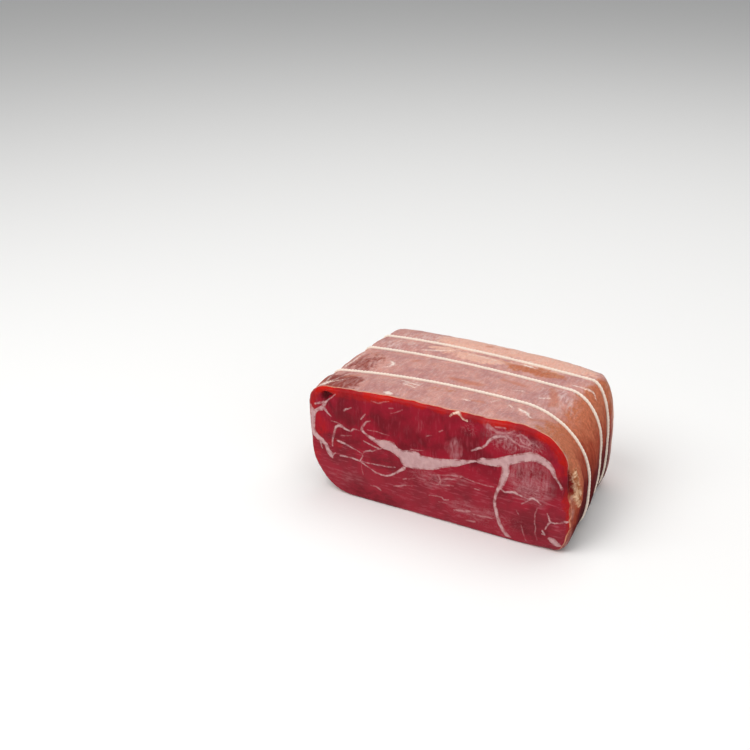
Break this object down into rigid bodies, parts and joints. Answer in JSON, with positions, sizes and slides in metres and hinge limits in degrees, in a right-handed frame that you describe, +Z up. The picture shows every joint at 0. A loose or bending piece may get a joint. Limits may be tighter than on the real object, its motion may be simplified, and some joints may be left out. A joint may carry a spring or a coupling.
{
  "type": "boneless cured ham, cut piece",
  "caption": "Pressed block of boneless cured ham, cut flat across the front to show its marbled lean, and tied round with white twine that sinks into its skin.",
  "frame": {"origin": "under the middle of the piece's box, on the table it lies on", "axes": "+X across the cut face to the right, seen from the cut; +Y from the cut face to the back end; +Z up"},
  "size_m": [0.2052, 0.1444, 0.0888],
  "materials": {
    "cured_meat": "moist cured pork: crimson lean with pinkish-white fat seams on the cut, and a greyish-pink to orange-brown outside under a thin satin film",
    "twine": "matt off-white twisted cotton"
  },
  "bodies": {
    "root": {"ham": "cured_meat", "twine_1": "twine", "twine_2": "twine", "twine_3": "twine"}
  },
  "joints": []
}
